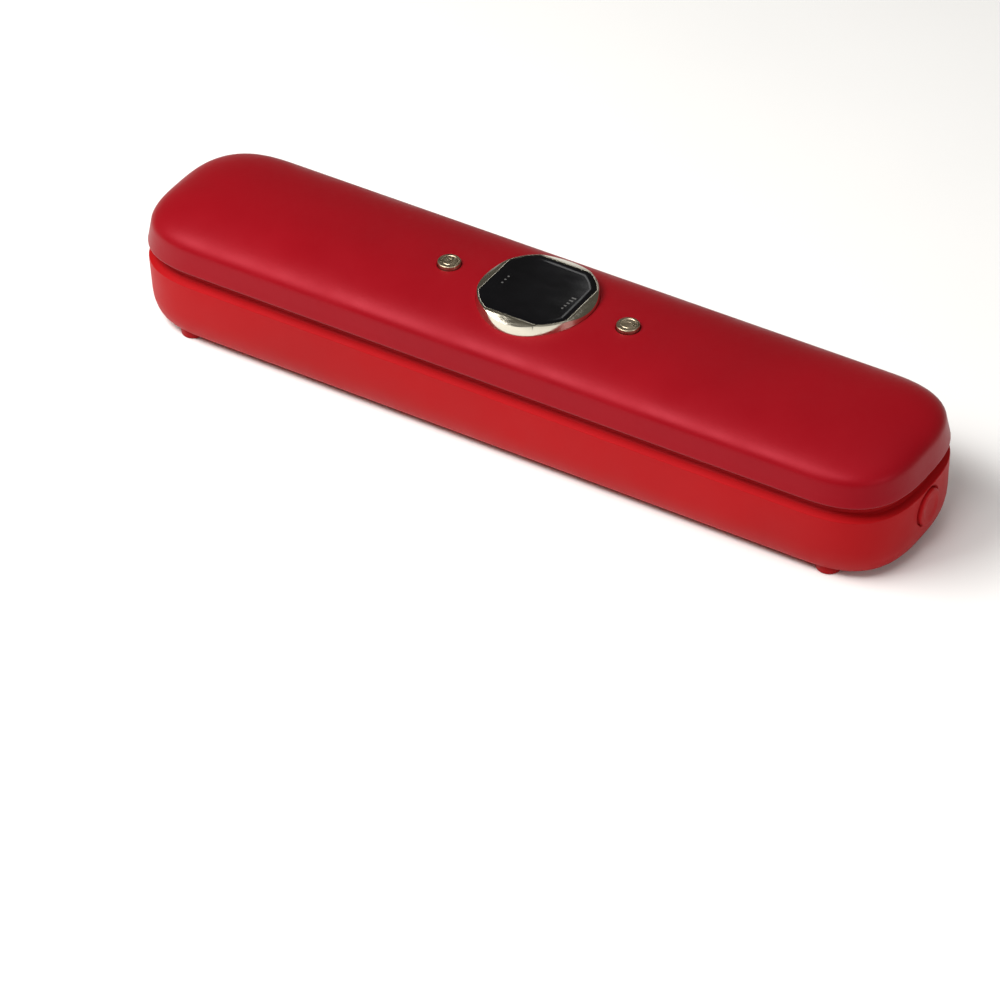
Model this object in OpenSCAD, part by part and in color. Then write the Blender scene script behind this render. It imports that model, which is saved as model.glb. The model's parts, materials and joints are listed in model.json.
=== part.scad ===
// Compact vacuum sealer: a long rounded base with a hinged, domed lid, a framed control panel
// and two push buttons on the lid, and a lid release button on each end of the base.
// Millimetres. +X along the length, -Y is the side the bag enters, +Z up, origin on the
// supporting surface under the middle of the body.

/* [Body] */
// Overall length of the base and lid, without the release buttons
body_length = 360; // [356:0.5:364]
// Depth of the body from front to back
body_depth = 78; // [77:0.25:79]
// Squareness of the rounded ends, 2 is an ellipse
end_power = 2.85; // [2.6:0.05:3.1]
// Wall thickness of the two casings
wall = 2.2; // [2:0.1:2.3]

/* [Base] */
// Height of the feet below the base
foot_height = 2.8; // [2.5:0.1:3]
// Height of the crisp outer edge of the base
rim_z = 31; // [30:0.25:31.5]
// Height of the deck that the bag is laid on
deck_z = 34.5; // [34.4:0.05:34.6]
// How far the underside tucks in
tuck = 5.4; // [4.5:0.1:6]
// Height over which the underside tucks in
tuck_height = 14; // [12:0.5:15]

/* [Lid] */
// Height of the lid's lower edge
lid_z = 37.3; // [37.2:0.05:37.4]
// Height of the lid's side wall, up to the soft crease
lid_side = 9; // [8:0.25:10]
// How far the side wall leans in
lid_draft = 1.6; // [1.4:0.1:2]
// Height of the lid's crown
crown_z = 57; // [56.9:0.1:58]
// Fullness of the crown, 2 is an ellipse
crown_power = 2.15; // [2.1:0.05:2.4]

/* [Controls] */
// Radius of the bright panel frame
frame_radius = 25.1; // [24.8:0.1:25.6]
// Height of the frame above the crown
frame_rise = 2.8; // [2:0.1:3.5]
// Half width of the dark panel, between its flats
panel_half = 20.5; // [20:0.1:20.8]
// Radius of the dark panel's corners, about its middle
panel_corner = 23.6; // [23.2:0.1:23.8]
// Distance of each push button from the middle
button_x = 42.4; // [40:0.2:45]
// Radius of the push buttons
button_radius = 4.8; // [4.4:0.1:5]
// Travel of the push buttons
button_travel = 0.8; // [0.5:0.1:0.9]

/* [Release] */
// Radius of the release buttons on the ends
release_radius = 7.9; // [7:0.1:8]
// Travel of the release buttons
release_travel = 2.5; // [1.5:0.1:2.5]

/* [Sealing] */
// Length of the heated strip
seal_length = 290; // [280:1:294]
// Inside length of the vacuum trough
trough_length = 262; // [240:1:266]
// Inside width of the vacuum trough
trough_width = 15; // [12:0.5:15]
// Inside depth of the vacuum trough
trough_depth = 10; // [8:0.5:10]

/* [Hidden] */

$fn = 64;
END_STEPS = 24;
CROWN_STEPS = 9;
FIT = 0.15;

// colours
RED = [0.67, 0.05, 0.09];
DARK = [0.12, 0.12, 0.13];
GREY = [0.45, 0.45, 0.47];
STEEL = [0.75, 0.75, 0.77];
BRASS = [0.80, 0.62, 0.30];
GREEN = [0.08, 0.33, 0.16];
SILICONE = [0.86, 0.86, 0.84];

// casings
half_depth = body_depth / 2;
straight = body_length / 2 - half_depth;
side_draft = 0.5;
shoulder = 4;
crease_z = lid_z + lid_side;
crown_sink = 0.3;
floor_z = foot_height + wall;
deck_thick = 2.5;
deck_inset = shoulder + 1.4;
liner_z = lid_z + 1;
liner_thick = 2;
liner_inset = 3.5;

// sealing line and vacuum trough
seal_y = -27;
seal_top = deck_z + 0.9;
strip_half = 1.25;
strip_thick = 0.15;
trough_y = -7;
trough_wall = 2;
gasket_gap = 2.5;
gasket_width = 3;
gasket_top = deck_z + 1.9;
suction_x = -124;

// hinge
hinge_y = 36.5;
hinge_z = deck_z + 0.7;
hinge_x = 105;
knuckle_r = 2.4;
pin_r = 1.25;
pin_gap = 0.05;
knuckle_clear = 3.4;
station_half = 16;
lid_knuckle_half = 7.7;

// latch and release button
release_y = 0;
release_z = rim_z - 9.5;
release_out = body_length / 2 + 0.9;
release_flange = 1;
flange_x = body_length / 2 - 7.6;
hook_x = 160;
hook_half_y = 4;
hook_low = rim_z - 5;
spring_seat_x = 143;
slider_x = spring_seat_x + 4 * release_travel;

// foot, post and screw places
FEET = [[152, 29.2], [-152, 29.2], [152, -29.2], [-152, -29.2]];
foot_r = 5.4;
foot_seat = 1.2;
POSTS = [[166, -15], [-166, -15], [75, -26], [-75, -26], [146, 21], [-146, 21], [-20, 27]];
LINER_SCREWS = [[150, -8], [-150, -8], [85, 16], [-85, 16], [36, 22], [-36, 22]];
BOARD_POSTS = [[54, 9], [-54, 9], [54, -9], [-54, -9]];

// control stack in the lid
board_z = liner_z + liner_thick + 3.2;
board_thick = 1.6;
board_top = board_z + board_thick;
carrier_top = crown_z - 6;
frame_top = crown_z + frame_rise;
button_proud = 1.7;
button_low = board_top + 5.2;

// pump
pump_y = 18.5;
pump_z = floor_z + 13;
motor_r = 12;
motor_x = -112;
motor_length = 31;
shaft_r = 1.15;
head_x = -136;
head_length = 23;
head_low = floor_z + 1;
head_top = head_low + 19.5;
head_half = 11;
diaphragm_thick = 1.2;
nozzle_z = pump_z - 5;
cam_throw = 1;

// mains side
board_x = 10;
board_length = 102;
board_y = 5;
board_depth = 26;
power_z = floor_z + 3;
inlet_x = 128;
inlet_z = floor_z + 11;
inlet_face = half_depth - 0.4;
inlet_depth = 16;
pin_pitch = 8.6;
switch_at = [60, 22];
switch_low = deck_z - 15.5;

// ---------- outline and shells ----------

// point of a rounded end at angle a, for the outline's half depth
function end_point(a, half) =
    let (r = half * pow(pow(abs(cos(a)), end_power) + pow(abs(sin(a)), end_power), -1 / end_power))
    [r * cos(a), r * sin(a)];

// closed outline of the body, moved in by inset
function outline(inset) = [
    for (side = [1, -1])
        for (k = [0 : END_STEPS])
            let (p = end_point(-90 + 180 * k / END_STEPS, half_depth - inset))
            [side * (straight + p.x), side * p.y]
];

function ring(p) = [for (q = outline(p[0])) [q.x, q.y, p[1]]];

// closed solid through a list of [inset, z] rings, from a first cap to a last cap
module loft(profile) {
    n = 2 * (END_STEPS + 1);
    rows = len(profile);
    points = [for (p = profile) each ring(p)];
    sides = [
        for (i = [0 : rows - 2])
            for (k = [0 : n - 1])
                let (a = i * n + k, b = i * n + (k + 1) % n)
                each [[a, a + n, b + n], [a, b + n, b]]
    ];
    first = [for (k = [0 : n - 1]) k];
    last = [for (k = [n - 1 : -1 : 0]) (rows - 1) * n + k];
    polyhedron(points, concat([first], sides, [last]), convexity = 8);
}

// flat plate with the body's outline
module plate(inset, z, thick) {
    translate([0, 0, z])
        linear_extrude(thick)
            polygon(outline(inset));
}

// rounded underside of the base: rings from the flat bottom to the upright wall
function tuck_profile(skin) = [
    for (a = [0 : 18 : 90])
        [side_draft + skin + tuck * (1 - sin(a)), foot_height + skin + (tuck_height - skin) * (1 - cos(a))]
];

function base_profile() = concat(
    tuck_profile(0),
    [[0, rim_z], [0.4, rim_z + 0.4], [shoulder - 1.1, rim_z + 1], [shoulder, rim_z + 2]],
    [[shoulder + 0.2, deck_z], [shoulder + 1.2, deck_z]],
    [[shoulder + 1.2, rim_z - 0.7], [wall + 0.4, rim_z - 3.5]],
    [for (i = [5 : -1 : 0]) tuck_profile(wall)[i]]
);

// superellipse crown, sunk a little below the crease: rings from the crease to the ridge
function crown_profile(skin, drop) =
    let (
        low = crease_z - crown_sink - drop,
        height = crown_z - skin - low,
        first = crown_sink / height,
        reach = (half_depth - lid_draft - skin) / pow(1 - pow(first, crown_power), 1 / crown_power),
        start = asin(pow(first, crown_power / 2))
    )
    [
        for (k = [0 : CROWN_STEPS])
            let (a = start + (90 - start) * k / CROWN_STEPS)
            [
                min(half_depth - 0.8, half_depth - reach * pow(cos(a), 2 / crown_power)),
                low + height * pow(sin(a), 2 / crown_power)
            ]
    ];

function lid_profile() =
    let (inner = crown_profile(wall, 1))
    concat(
        [for (i = [len(inner) - 1 : -1 : 0]) inner[i]],
        [[wall + 0.2, lid_z], [0.6, lid_z], [0.05, lid_z + 0.7], [lid_draft / 2, lid_z + lid_side / 2]],
        crown_profile(0, 0)
    );

// ---------- small helpers ----------

// cylinder along +X from x to x + length
module rod_x(x, y, z, r, length) {
    translate([x, y, z])
        rotate([0, 90, 0])
            cylinder(h = length, r = r);
}

module post(x, y, z, r, height) {
    translate([x, y, z])
        cylinder(h = height, r = r);
}

module block(x, y, z) {
    translate([x[0], y[0], z[0]])
        cube([x[1] - x[0], y[1] - y[0], z[1] - z[0]]);
}

// flat stadium: length and width over the round ends
module stadium(length, width) {
    square([length - width, width], center = true);
    for (s = [1, -1])
        translate([s * (length - width) / 2, 0])
            circle(d = width);
}

module stadium_bar(length, width, y, z, height) {
    translate([0, y, z])
        linear_extrude(height)
            stadium(length, width);
}

// pan head screw, pointing along +Z from its head
module screw(x, y, z, head_r, shank_r, length) {
    translate([x, y, z])
        difference() {
            union() {
                cylinder(h = 1.2, r = head_r);
                cylinder(h = 1.2 + length, r = shank_r);
            }
            for (turn = [0, 90])
                rotate(turn)
                    translate([-head_r * 0.6, -0.3, -0.1])
                        cube([head_r * 1.2, 0.6, 0.8]);
        }
}

function unit(v) = v / norm(v);

// round tube through points, each ring square to the path
module tube(points, r, sides) {
    n = len(points);
    rings = [
        for (i = [0 : n - 1])
            let (
                t = unit(points[min(i + 1, n - 1)] - points[max(i - 1, 0)]),
                u = unit(cross(t, abs(t.z) > 0.9 ? [1, 0, 0] : [0, 0, 1])),
                v = cross(u, t)
            )
            each [
                for (k = [0 : sides - 1])
                    let (a = 360 * k / sides)
                    points[i] + r * (u * cos(a) + v * sin(a))
            ]
    ];
    walls = [
        for (i = [0 : n - 2])
            for (k = [0 : sides - 1])
                let (a = i * sides + k, b = i * sides + (k + 1) % sides)
                each [[a, b, b + sides], [a, b + sides, a + sides]]
    ];
    first = [for (k = [sides - 1 : -1 : 0]) k];
    last = [for (k = [0 : sides - 1]) (n - 1) * sides + k];
    polyhedron(rings, concat([first], walls, [last]), convexity = 6);
}

// ---------- base ----------

module base_housing() {
    color(RED)
        difference() {
            loft(base_profile());
            for (side = [1, -1]) {
                rod_x(side > 0 ? 165 : -185, release_y, release_z, release_radius + 0.25, 20);
                block(
                    [side * hinge_x - station_half - 0.6, side * hinge_x + station_half + 0.6],
                    [deck_inset + 26, half_depth + 2],
                    [deck_z - 3.1, deck_z + 3]
                );
            }
            for (p = POSTS) {
                post(p.x, p.y, 0, 1.7, floor_z + 1);
                post(p.x, p.y, 0, 3.2, foot_height + 1.4);
            }
            for (p = FEET)
                post(p.x, p.y, 0, foot_r + 0.1, foot_height + foot_seat);
            for (i = [0 : 7])
                block([24 + 9 * i, 26 + 9 * i], [-14, 8], [0, floor_z + 1]);
            translate([inlet_x, half_depth - 5, inlet_z])
                rotate([-90, 0, 0])
                    linear_extrude(10)
                        stadium(20 + 2 * FIT, 12.4 + 2 * FIT);
        }
}

module hinge_knuckle(x, length, bore) {
    difference() {
        union() {
            rod_x(x, hinge_y, hinge_z, knuckle_r, length);
            children();
        }
        rod_x(x - 1, hinge_y, hinge_z, bore, length + 2);
    }
}

module base_deck() {
    trough_out = trough_length + 2 * trough_wall;
    color(RED)
        difference() {
            union() {
                plate(deck_inset, deck_z - deck_thick, deck_thick);
                stadium_bar(
                    trough_out,
                    trough_width + 2 * trough_wall,
                    trough_y,
                    deck_z - trough_depth - trough_wall,
                    trough_depth + trough_wall
                );
                post(suction_x, trough_y, deck_z - trough_depth - trough_wall - 4, 1.8, 5);
                for (p = POSTS)
                    post(p.x, p.y, floor_z, 3.5, deck_z - deck_thick - floor_z + 0.5);
                for (side = [1, -1]) {
                    translate([side * (spring_seat_x - 1), release_y, release_z - 5])
                        linear_extrude(deck_z - release_z + 4)
                            square([2, 10], center = true);
                    for (end = [1, -1]) {
                        x = side * hinge_x + (end > 0 ? lid_knuckle_half + 0.3 : -station_half);
                        hinge_knuckle(x, station_half - lid_knuckle_half - 0.3, pin_r)
                            block(
                                [x, x + station_half - lid_knuckle_half - 0.3],
                                [hinge_y - 6, hinge_y - 0.4],
                                [deck_z - deck_thick, deck_z]
                            );
                    }
                }
            }
            stadium_bar(trough_length, trough_width, trough_y, deck_z - trough_depth, trough_depth + 1);
            post(suction_x, trough_y, deck_z - trough_depth - trough_wall - 5, 1, 8);
            gasket_loop(deck_z - 1.2, 2, FIT / 3);
            block(
                [-seal_length / 2 - 8.1, seal_length / 2 + 8.1],
                [seal_y - 3.6, seal_y + 3.6],
                [deck_z - 1.5, deck_z + 1]
            );
            for (p = POSTS)
                post(p.x, p.y, floor_z - 1, 1.3, 13);
            for (side = [1, -1]) {
                slot = side > 0 ? [hook_x - 4.1, hook_x + 2.5] : [-hook_x - 2.5, 4.1 - hook_x];
                block(slot, [release_y - 9, release_y + 5.5], [deck_z - 4, deck_z + 1]);
                rod_x(side * hinge_x - station_half - 1, hinge_y, hinge_z, pin_r, 2 * station_half + 2);
            }
            post(switch_at.x, switch_at.y, deck_z - 4, 1.5, 5);
        }
}

// one loop of gasket around the trough; grow widens it for its groove
module gasket_loop(z, height, grow) {
    inner = trough_width + 2 * gasket_gap;
    reach = trough_length + 2 * gasket_gap;
    difference() {
        stadium_bar(
            reach + 2 * (gasket_width + grow), inner + 2 * (gasket_width + grow), trough_y, z, height
        );
        stadium_bar(reach - 2 * grow, inner - 2 * grow, trough_y, z - 1, height + 2);
    }
}

module lower_gasket() {
    color(DARK) gasket_loop(deck_z - 1.2, gasket_top - deck_z + 1.2, 0);
}

module feet() {
    color(RED * 0.8)
        for (p = FEET)
            translate([p.x, p.y, 0])
                rotate_extrude()
                    difference() {
                        square([foot_r, foot_height + foot_seat]);
                        translate([foot_r, 0])
                            circle(r = 0.8);
                    }
}

module housing_screws() {
    color(STEEL)
        for (p = POSTS)
            screw(p.x, p.y, foot_height + 0.2, 3, 1.25, 9);
}

module heater_bar() {
    color(DARK)
        difference() {
            block(
                [-seal_length / 2 - 8, seal_length / 2 + 8],
                [seal_y - 3.5, seal_y + 3.5],
                [deck_z - 1.5, seal_top]
            );
            for (side = [1, -1])
                block(
                    [side * (seal_length / 2 + 4) - 3.1, side * (seal_length / 2 + 4) + 3.1],
                    [seal_y - 2.6, seal_y + 2.6],
                    [deck_z - 0.5, seal_top + 1]
                );
        }
}

module heating_strip() {
    color(STEEL)
        block(
            [-seal_length / 2, seal_length / 2],
            [seal_y - strip_half, seal_y + strip_half],
            [seal_top, seal_top + strip_thick]
        );
}

module ptfe_tape() {
    color([0.62, 0.47, 0.32])
        difference() {
            block(
                [-seal_length / 2 + 0.5, seal_length / 2 - 0.5],
                [seal_y - 3.5, seal_y + 3.5],
                [seal_top, seal_top + strip_thick + 0.2]
            );
            block(
                [-seal_length / 2 - 1, seal_length / 2 + 1],
                [seal_y - strip_half, seal_y + strip_half],
                [seal_top - 1, seal_top + strip_thick]
            );
        }
}

module strip_terminals() {
    color(BRASS)
        for (side = [1, -1])
            block(
                [side * (seal_length / 2 + 4) - 3, side * (seal_length / 2 + 4) + 3],
                [seal_y - 2.5, seal_y + 2.5],
                [deck_z - 0.5, seal_top - 0.1]
            );
}

module hinge_pins() {
    color(STEEL)
        for (side = [1, -1])
            rod_x(side * hinge_x - station_half, hinge_y, hinge_z, pin_r, 2 * station_half);
}

// ---------- lid ----------

module lid_shell() {
    color(RED)
        difference() {
            union() {
                loft(lid_profile());
                intersection() {
                    loft(concat([[wall + 1, crease_z - 4]], crown_profile(1, 0)));
                    for (p = LINER_SCREWS)
                        post(p.x, p.y, liner_z + liner_thick, 3, crown_z - liner_z);
                }
            }
            for (p = LINER_SCREWS)
                post(p.x, p.y, liner_z, 1.3, 9);
            post(0, 0, crown_z - 12, frame_radius + FIT, 20);
            for (side = [1, -1]) {
                post(side * button_x, 0, crown_z - 12, button_radius + 0.2, 20);
                rod_x(
                    side * hinge_x - station_half - 0.6, hinge_y, hinge_z,
                    knuckle_clear, 2 * station_half + 1.2
                );
            }
        }
}

module lid_liner() {
    color(RED)
        difference() {
            union() {
                plate(liner_inset, liner_z, liner_thick);
                for (p = BOARD_POSTS)
                    post(p.x, p.y, liner_z + liner_thick - 0.5, 2.8, board_z - liner_z - liner_thick + 0.5);
                post(switch_at.x, switch_at.y, deck_z + 1.5, 2, liner_z - deck_z - 1);
                for (side = [1, -1])
                    hinge_knuckle(side * hinge_x - lid_knuckle_half, 2 * lid_knuckle_half, pin_r + pin_gap)
                        block(
                            [side * hinge_x - lid_knuckle_half, side * hinge_x + lid_knuckle_half],
                            [hinge_y - 3, hinge_y - 1.1],
                            [hinge_z, liner_z + 1]
                        );
            }
            gasket_loop(liner_z - 1, 2, FIT / 3);
            block(
                [-seal_length / 2 - 3.1, seal_length / 2 + 3.1],
                [seal_y - 4.1, seal_y + 4.1],
                [liner_z - 1, liner_z + 1]
            );
            for (p = BOARD_POSTS)
                post(p.x, p.y, liner_z + 1, 0.95, 12);
            for (p = LINER_SCREWS)
                post(p.x, p.y, liner_z - 1, 1.6, 5);
        }
}

module liner_screws() {
    color(STEEL)
        for (p = LINER_SCREWS)
            screw(p.x, p.y, liner_z - 1.2, 2.6, 1.25, 6);
}

module upper_gasket() {
    color(DARK) gasket_loop(gasket_top + 0.3, liner_z + 1 - gasket_top - 0.3, 0);
}

module pressure_strip() {
    color(SILICONE)
        block(
            [-seal_length / 2 - 3, seal_length / 2 + 3],
            [seal_y - 4, seal_y + 4],
            [seal_top + 0.75, liner_z + 1]
        );
}

// ---------- latch ----------

module latch_hook(side) {
    y = [release_y - hook_half_y, release_y + hook_half_y];
    color(DARK)
        mirror([side > 0 ? 0 : 1, 0, 0]) {
            block([hook_x - 1.5, hook_x + 1.5], y, [hook_low, liner_z]);
            block([hook_x - 3.1, hook_x - 1.5], y, [hook_low, hook_low + 2]);
            block([hook_x - 5, hook_x + 5], y, [liner_z - 1.2, liner_z]);
        }
}

module latch_hook_left() { latch_hook(-1); }
module latch_hook_right() { latch_hook(1); }

module release_button(side) {
    color(RED)
        mirror([side > 0 ? 0 : 1, 0, 0])
            translate([flange_x, release_y, release_z])
                rotate([0, 90, 0])
                    rotate_extrude()
                        difference() {
                            union() {
                                square([release_radius, release_out - flange_x]);
                                square([release_radius + release_flange, 2]);
                            }
                            translate([release_radius, release_out - flange_x])
                                circle(r = 0.8);
                        }
}

module release_button_left() { release_button(-1); }
module release_button_right() { release_button(1); }

module latch_slider(side) {
    y = [release_y - hook_half_y, release_y + hook_half_y];
    color(DARK)
        mirror([side > 0 ? 0 : 1, 0, 0]) {
            block([slider_x, flange_x], y, [release_z - 2.5, release_z + 1.5]);
            block([slider_x, hook_x - 3.4], y, [release_z - 2.5, hook_low + 4]);
        }
}

module latch_slider_left() { latch_slider(-1); }
module latch_slider_right() { latch_slider(1); }

module latch_spring(side) {
    wire = 0.4;
    turns = 6;
    per_turn = 10;
    run = slider_x - spring_seat_x - 2 * wire;
    path = [
        for (i = [0 : turns * per_turn])
            let (a = 360 * i / per_turn)
            [
                spring_seat_x + wire + run * i / (turns * per_turn),
                release_y + 2.6 * cos(a),
                release_z - 0.5 + 2.6 * sin(a)
            ]
    ];
    color(STEEL)
        mirror([side > 0 ? 0 : 1, 0, 0])
            tube(path, wire, 6);
}

module latch_spring_left() { latch_spring(-1); }
module latch_spring_right() { latch_spring(1); }

// ---------- controls ----------

module push_button(side) {
    color(STEEL)
        translate([side * button_x, 0, 0])
            difference() {
                union() {
                    post(0, 0, crown_z - wall - 2, button_radius, wall + 2 + button_proud);
                    post(0, 0, crown_z - wall - 2, button_radius + 1.1, 1.3);
                    post(0, 0, button_low, 3, crown_z - wall - 1.5 - button_low);
                }
                translate([0, 0, crown_z + button_proud - 0.15])
                    difference() {
                        cylinder(h = 1, r = button_radius - 1);
                        translate([0, 0, -1])
                            cylinder(h = 3, r = button_radius - 1.5);
                    }
            }
}

module vacuum_button() { push_button(-1); }
module seal_button() { push_button(1); }

// panel outline: a circle cut by four flats
module panel_shape(grow) {
    intersection() {
        circle(r = panel_corner + grow);
        square(2 * (panel_half + grow), center = true);
    }
}

module panel_frame() {
    facet_drop = 1.8;
    facet_run = frame_radius - panel_half;
    color(STEEL)
        difference() {
            post(0, 0, carrier_top, frame_radius, frame_top - carrier_top);
            translate([0, 0, frame_top - 2.2])
                linear_extrude(3)
                    panel_shape(0.1);
            post(0, 0, carrier_top - 1, frame_radius - 7, 12);
            for (turn = [0 : 90 : 270])
                rotate(turn)
                    translate([panel_half + 0.5, 0, frame_top])
                        rotate([0, atan2(facet_drop, facet_run), 0])
                            translate([0, -30, 0])
                                cube([12, 60, 12]);
        }
}

module panel_glass() {
    color([0.02, 0.02, 0.025])
        translate([0, 0, frame_top - 2.2])
            linear_extrude(2.1)
                panel_shape(0);
}

module panel_carrier() {
    color(DARK)
        difference() {
            union() {
                post(0, 0, carrier_top - 1.8, frame_radius + 0.7, 1.8);
                for (a = [30 : 120 : 270])
                    post(18 * cos(a), 13 * sin(a), board_top, 2, carrier_top - 1 - board_top);
            }
            block([-8, 8], [-3, 3], [carrier_top - 3, carrier_top + 1]);
        }
}

module display_module() {
    color(DARK) {
        block([-14, 14], [-9, 9], [carrier_top, frame_top - 2.4]);
        block([-7, 7], [-2, 2], [board_top, carrier_top + 0.5]);
    }
}

module control_board() {
    color(GREEN)
        difference() {
            block([-60, 60], [-14, 14], [board_z, board_top]);
            for (p = BOARD_POSTS)
                post(p.x, p.y, board_z - 1, 1.3, 4);
        }
}

module tact_switches() {
    tip = button_low - button_travel - 0.1;
    color(DARK)
        for (side = [1, -1])
            translate([side * button_x, 0, 0]) {
                block([-3, 3], [-3, 3], [board_top, board_top + 3.5]);
                post(0, 0, board_top + 3, 1.7, tip - board_top - 3);
            }
}

module board_screws() {
    top = board_top + 1.2;
    color(STEEL)
        for (p = BOARD_POSTS)
            translate([0, 0, 2 * top])
                mirror([0, 0, 1])
                    screw(p.x, p.y, top, 2, 0.9, 4);
}

// ---------- pump ----------

module motor_can() {
    color(STEEL)
        difference() {
            rod_x(motor_x, pump_y, pump_z, motor_r, motor_length);
            rod_x(motor_x + 1.5, pump_y, pump_z, motor_r - 1, motor_length - 3);
            rod_x(motor_x - 1, pump_y, pump_z, 3, motor_length + 2);
        }
}

module motor_bushes() {
    color(BRASS)
        for (x = [motor_x, motor_x + motor_length - 1.5])
            difference() {
                rod_x(x, pump_y, pump_z, 3, 1.5);
                rod_x(x - 1, pump_y, pump_z, shaft_r + pin_gap, 3.5);
            }
}

module motor_rotor() {
    color(GREY) {
        rod_x(head_x + 5, pump_y, pump_z, shaft_r, motor_x + motor_length + 3 - head_x - 5);
        difference() {
            rod_x(motor_x + 7, pump_y, pump_z, 8.5, 16);
            for (a = [0 : 120 : 240])
                rod_x(motor_x + 6, pump_y + 8.5 * cos(a), pump_z + 8.5 * sin(a), 2, 18);
        }
        rod_x(head_x + 8, pump_y + cam_throw, pump_z, 3.6, 5);
    }
}

module motor_cradle() {
    color(DARK)
        difference() {
            block([motor_x + 8, motor_x + 23], [pump_y - 10.5, pump_y + 10.5], [floor_z, pump_z - 5]);
            rod_x(motor_x + 5, pump_y, pump_z, motor_r + 0.02, 22);
        }
}

module head_block(low, high) {
    block([head_x, head_x + head_length], [pump_y - head_half, pump_y + head_half], [low, high]);
}

module pump_head() {
    color(GREY)
        difference() {
            head_block(head_low, head_top);
            block(
                [head_x + 3, head_x + head_length - 3],
                [pump_y - head_half + 3, pump_y + head_half - 3],
                [head_low + 3, head_top + 1]
            );
            rod_x(head_x + head_length - 4, pump_y, pump_z, 3.2, 5);
        }
    color(GREY)
        difference() {
            translate([suction_x, pump_y - head_half - 4.5, nozzle_z])
                rotate([-90, 0, 0])
                    cylinder(h = 4.5, r = 1.8);
            translate([suction_x, pump_y - head_half - 5, nozzle_z])
                rotate([-90, 0, 0])
                    cylinder(h = 9, r = 0.9);
        }
}

module pump_diaphragm() {
    color(DARK) {
        head_block(head_top, head_top + diaphragm_thick);
        difference() {
            block([head_x + 8, head_x + 13], [pump_y - 6.5, pump_y + 6.5], [pump_z - 6.5, head_top + 0.1]);
            rod_x(head_x + 7, pump_y, pump_z, 5, 7);
        }
    }
}

module pump_cover() {
    cover_top = head_top + diaphragm_thick + 3.8;
    color(GREY)
        difference() {
            head_block(head_top + diaphragm_thick, cover_top);
            for (x = [3, head_length - 3])
                for (y = [-8, 8])
                    post(head_x + x, pump_y + y, cover_top - 1.5, 1.4, 3);
        }
}

// hose from the trough's nozzle down and back to the pump's inlet
module hose_path(r) {
    bend = 5;
    top = deck_z - trough_depth - trough_wall;
    post(suction_x, trough_y, nozzle_z + bend, r, top - 0.2 - nozzle_z - bend);
    translate([suction_x, trough_y + bend, nozzle_z + bend])
        rotate([-90, 0, -90])
            rotate_extrude(angle = 90)
                translate([bend, 0])
                    circle(r = r);
    translate([suction_x, trough_y + bend, nozzle_z])
        rotate([-90, 0, 0])
            cylinder(h = pump_y - head_half - 0.2 - trough_y - bend, r = r);
}

module suction_hose() {
    color(SILICONE)
        difference() {
            hose_path(3);
            hose_path(1.9);
        }
}

// ---------- mains side ----------

module power_board() {
    color(GREEN)
        block(
            [board_x, board_x + board_length],
            [board_y, board_y + board_depth],
            [power_z, power_z + board_thick]
        );
    color(DARK)
        for (x = [board_x + 3, board_x + board_length - 9])
            for (y = [board_y + 1, board_y + board_depth - 7])
                block([x, x + 6], [y, y + 6], [floor_z, power_z]);
}

module transformer() {
    color([0.75, 0.65, 0.2])
        block([85, 105], [9, 28], [power_z + board_thick, power_z + 17]);
    color(DARK)
        block([88, 102], [11, 26], [power_z + 17, power_z + 20]);
}

module capacitors() {
    color([0.1, 0.12, 0.3]) {
        post(76, 13, power_z + board_thick, 5, 17);
        post(75, 26, power_z + board_thick, 4, 14);
    }
}

module relay() {
    color([0.1, 0.25, 0.55])
        block([16, 35], [9, 24], [power_z + board_thick, power_z + 17]);
}

module power_inlet() {
    color(DARK)
        difference() {
            translate([inlet_x, inlet_face - inlet_depth, inlet_z])
                rotate([-90, 0, 0])
                    linear_extrude(inlet_depth)
                        stadium(20, 12.4);
            translate([inlet_x, inlet_face - inlet_depth + 3, inlet_z])
                rotate([-90, 0, 0])
                    linear_extrude(inlet_depth)
                        stadium(16.4, 8.8);
            for (side = [1, -1])
                translate([inlet_x + side * pin_pitch / 2, inlet_face - inlet_depth - 1, inlet_z])
                    rotate([-90, 0, 0])
                        cylinder(h = 6, r = 1.2);
        }
}

module inlet_pins() {
    color(STEEL)
        for (side = [1, -1])
            translate([inlet_x + side * pin_pitch / 2, inlet_face - inlet_depth - 4, inlet_z])
                rotate([-90, 0, 0])
                    cylinder(h = inlet_depth + 2, r = 1.2);
}

module lid_switch() {
    color(DARK)
        difference() {
            block(
                [switch_at.x - 8, switch_at.x + 8],
                [switch_at.y - 3, switch_at.y + 3],
                [switch_low, deck_z - deck_thick]
            );
            post(switch_at.x, switch_at.y, switch_low + 4, 1.35, deck_z - switch_low);
        }
}

module switch_plunger() {
    color(SILICONE)
        post(switch_at.x, switch_at.y, switch_low + 6, 1.2, deck_z - switch_low - 4.6);
}

// wires from the inlet to the power board, and from it to both ends of the heated strip and the motor
module wiring() {
    low = floor_z + 1.2;
    board = power_z + 1;
    strip_end = seal_length / 2 + 2;
    terminal = deck_z - 2.6;
    routes = [
        [
            [124, 17, inlet_z], [121, 12, inlet_z], [117, 10, inlet_z - 3],
            [114.5, 10, board + 1], [112.6, 10, board]
        ],
        [
            [107, 4.3, board], [106, 0, low + 1], [112, -14, low], [130, -22, low],
            [142, -26, low + 7], [146, seal_y, low + 17], [strip_end, seal_y, terminal]
        ],
        [
            [12, 4.3, board], [6, 0, low + 1], [-20, -12, low], [-90, -22, low],
            [-135, -25, low + 3], [-146, seal_y, low + 15], [-strip_end, seal_y, terminal]
        ],
        [
            [9, 18, board], [0, 18, low + 2], [-30, 16, low + 2], [-60, 18, low + 4],
            [-74, 20, pump_z - 5], [-80, 22, pump_z - 4]
        ]
    ];
    color(RED)
        for (route = routes)
            tube(route, 0.9, 8);
}

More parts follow.
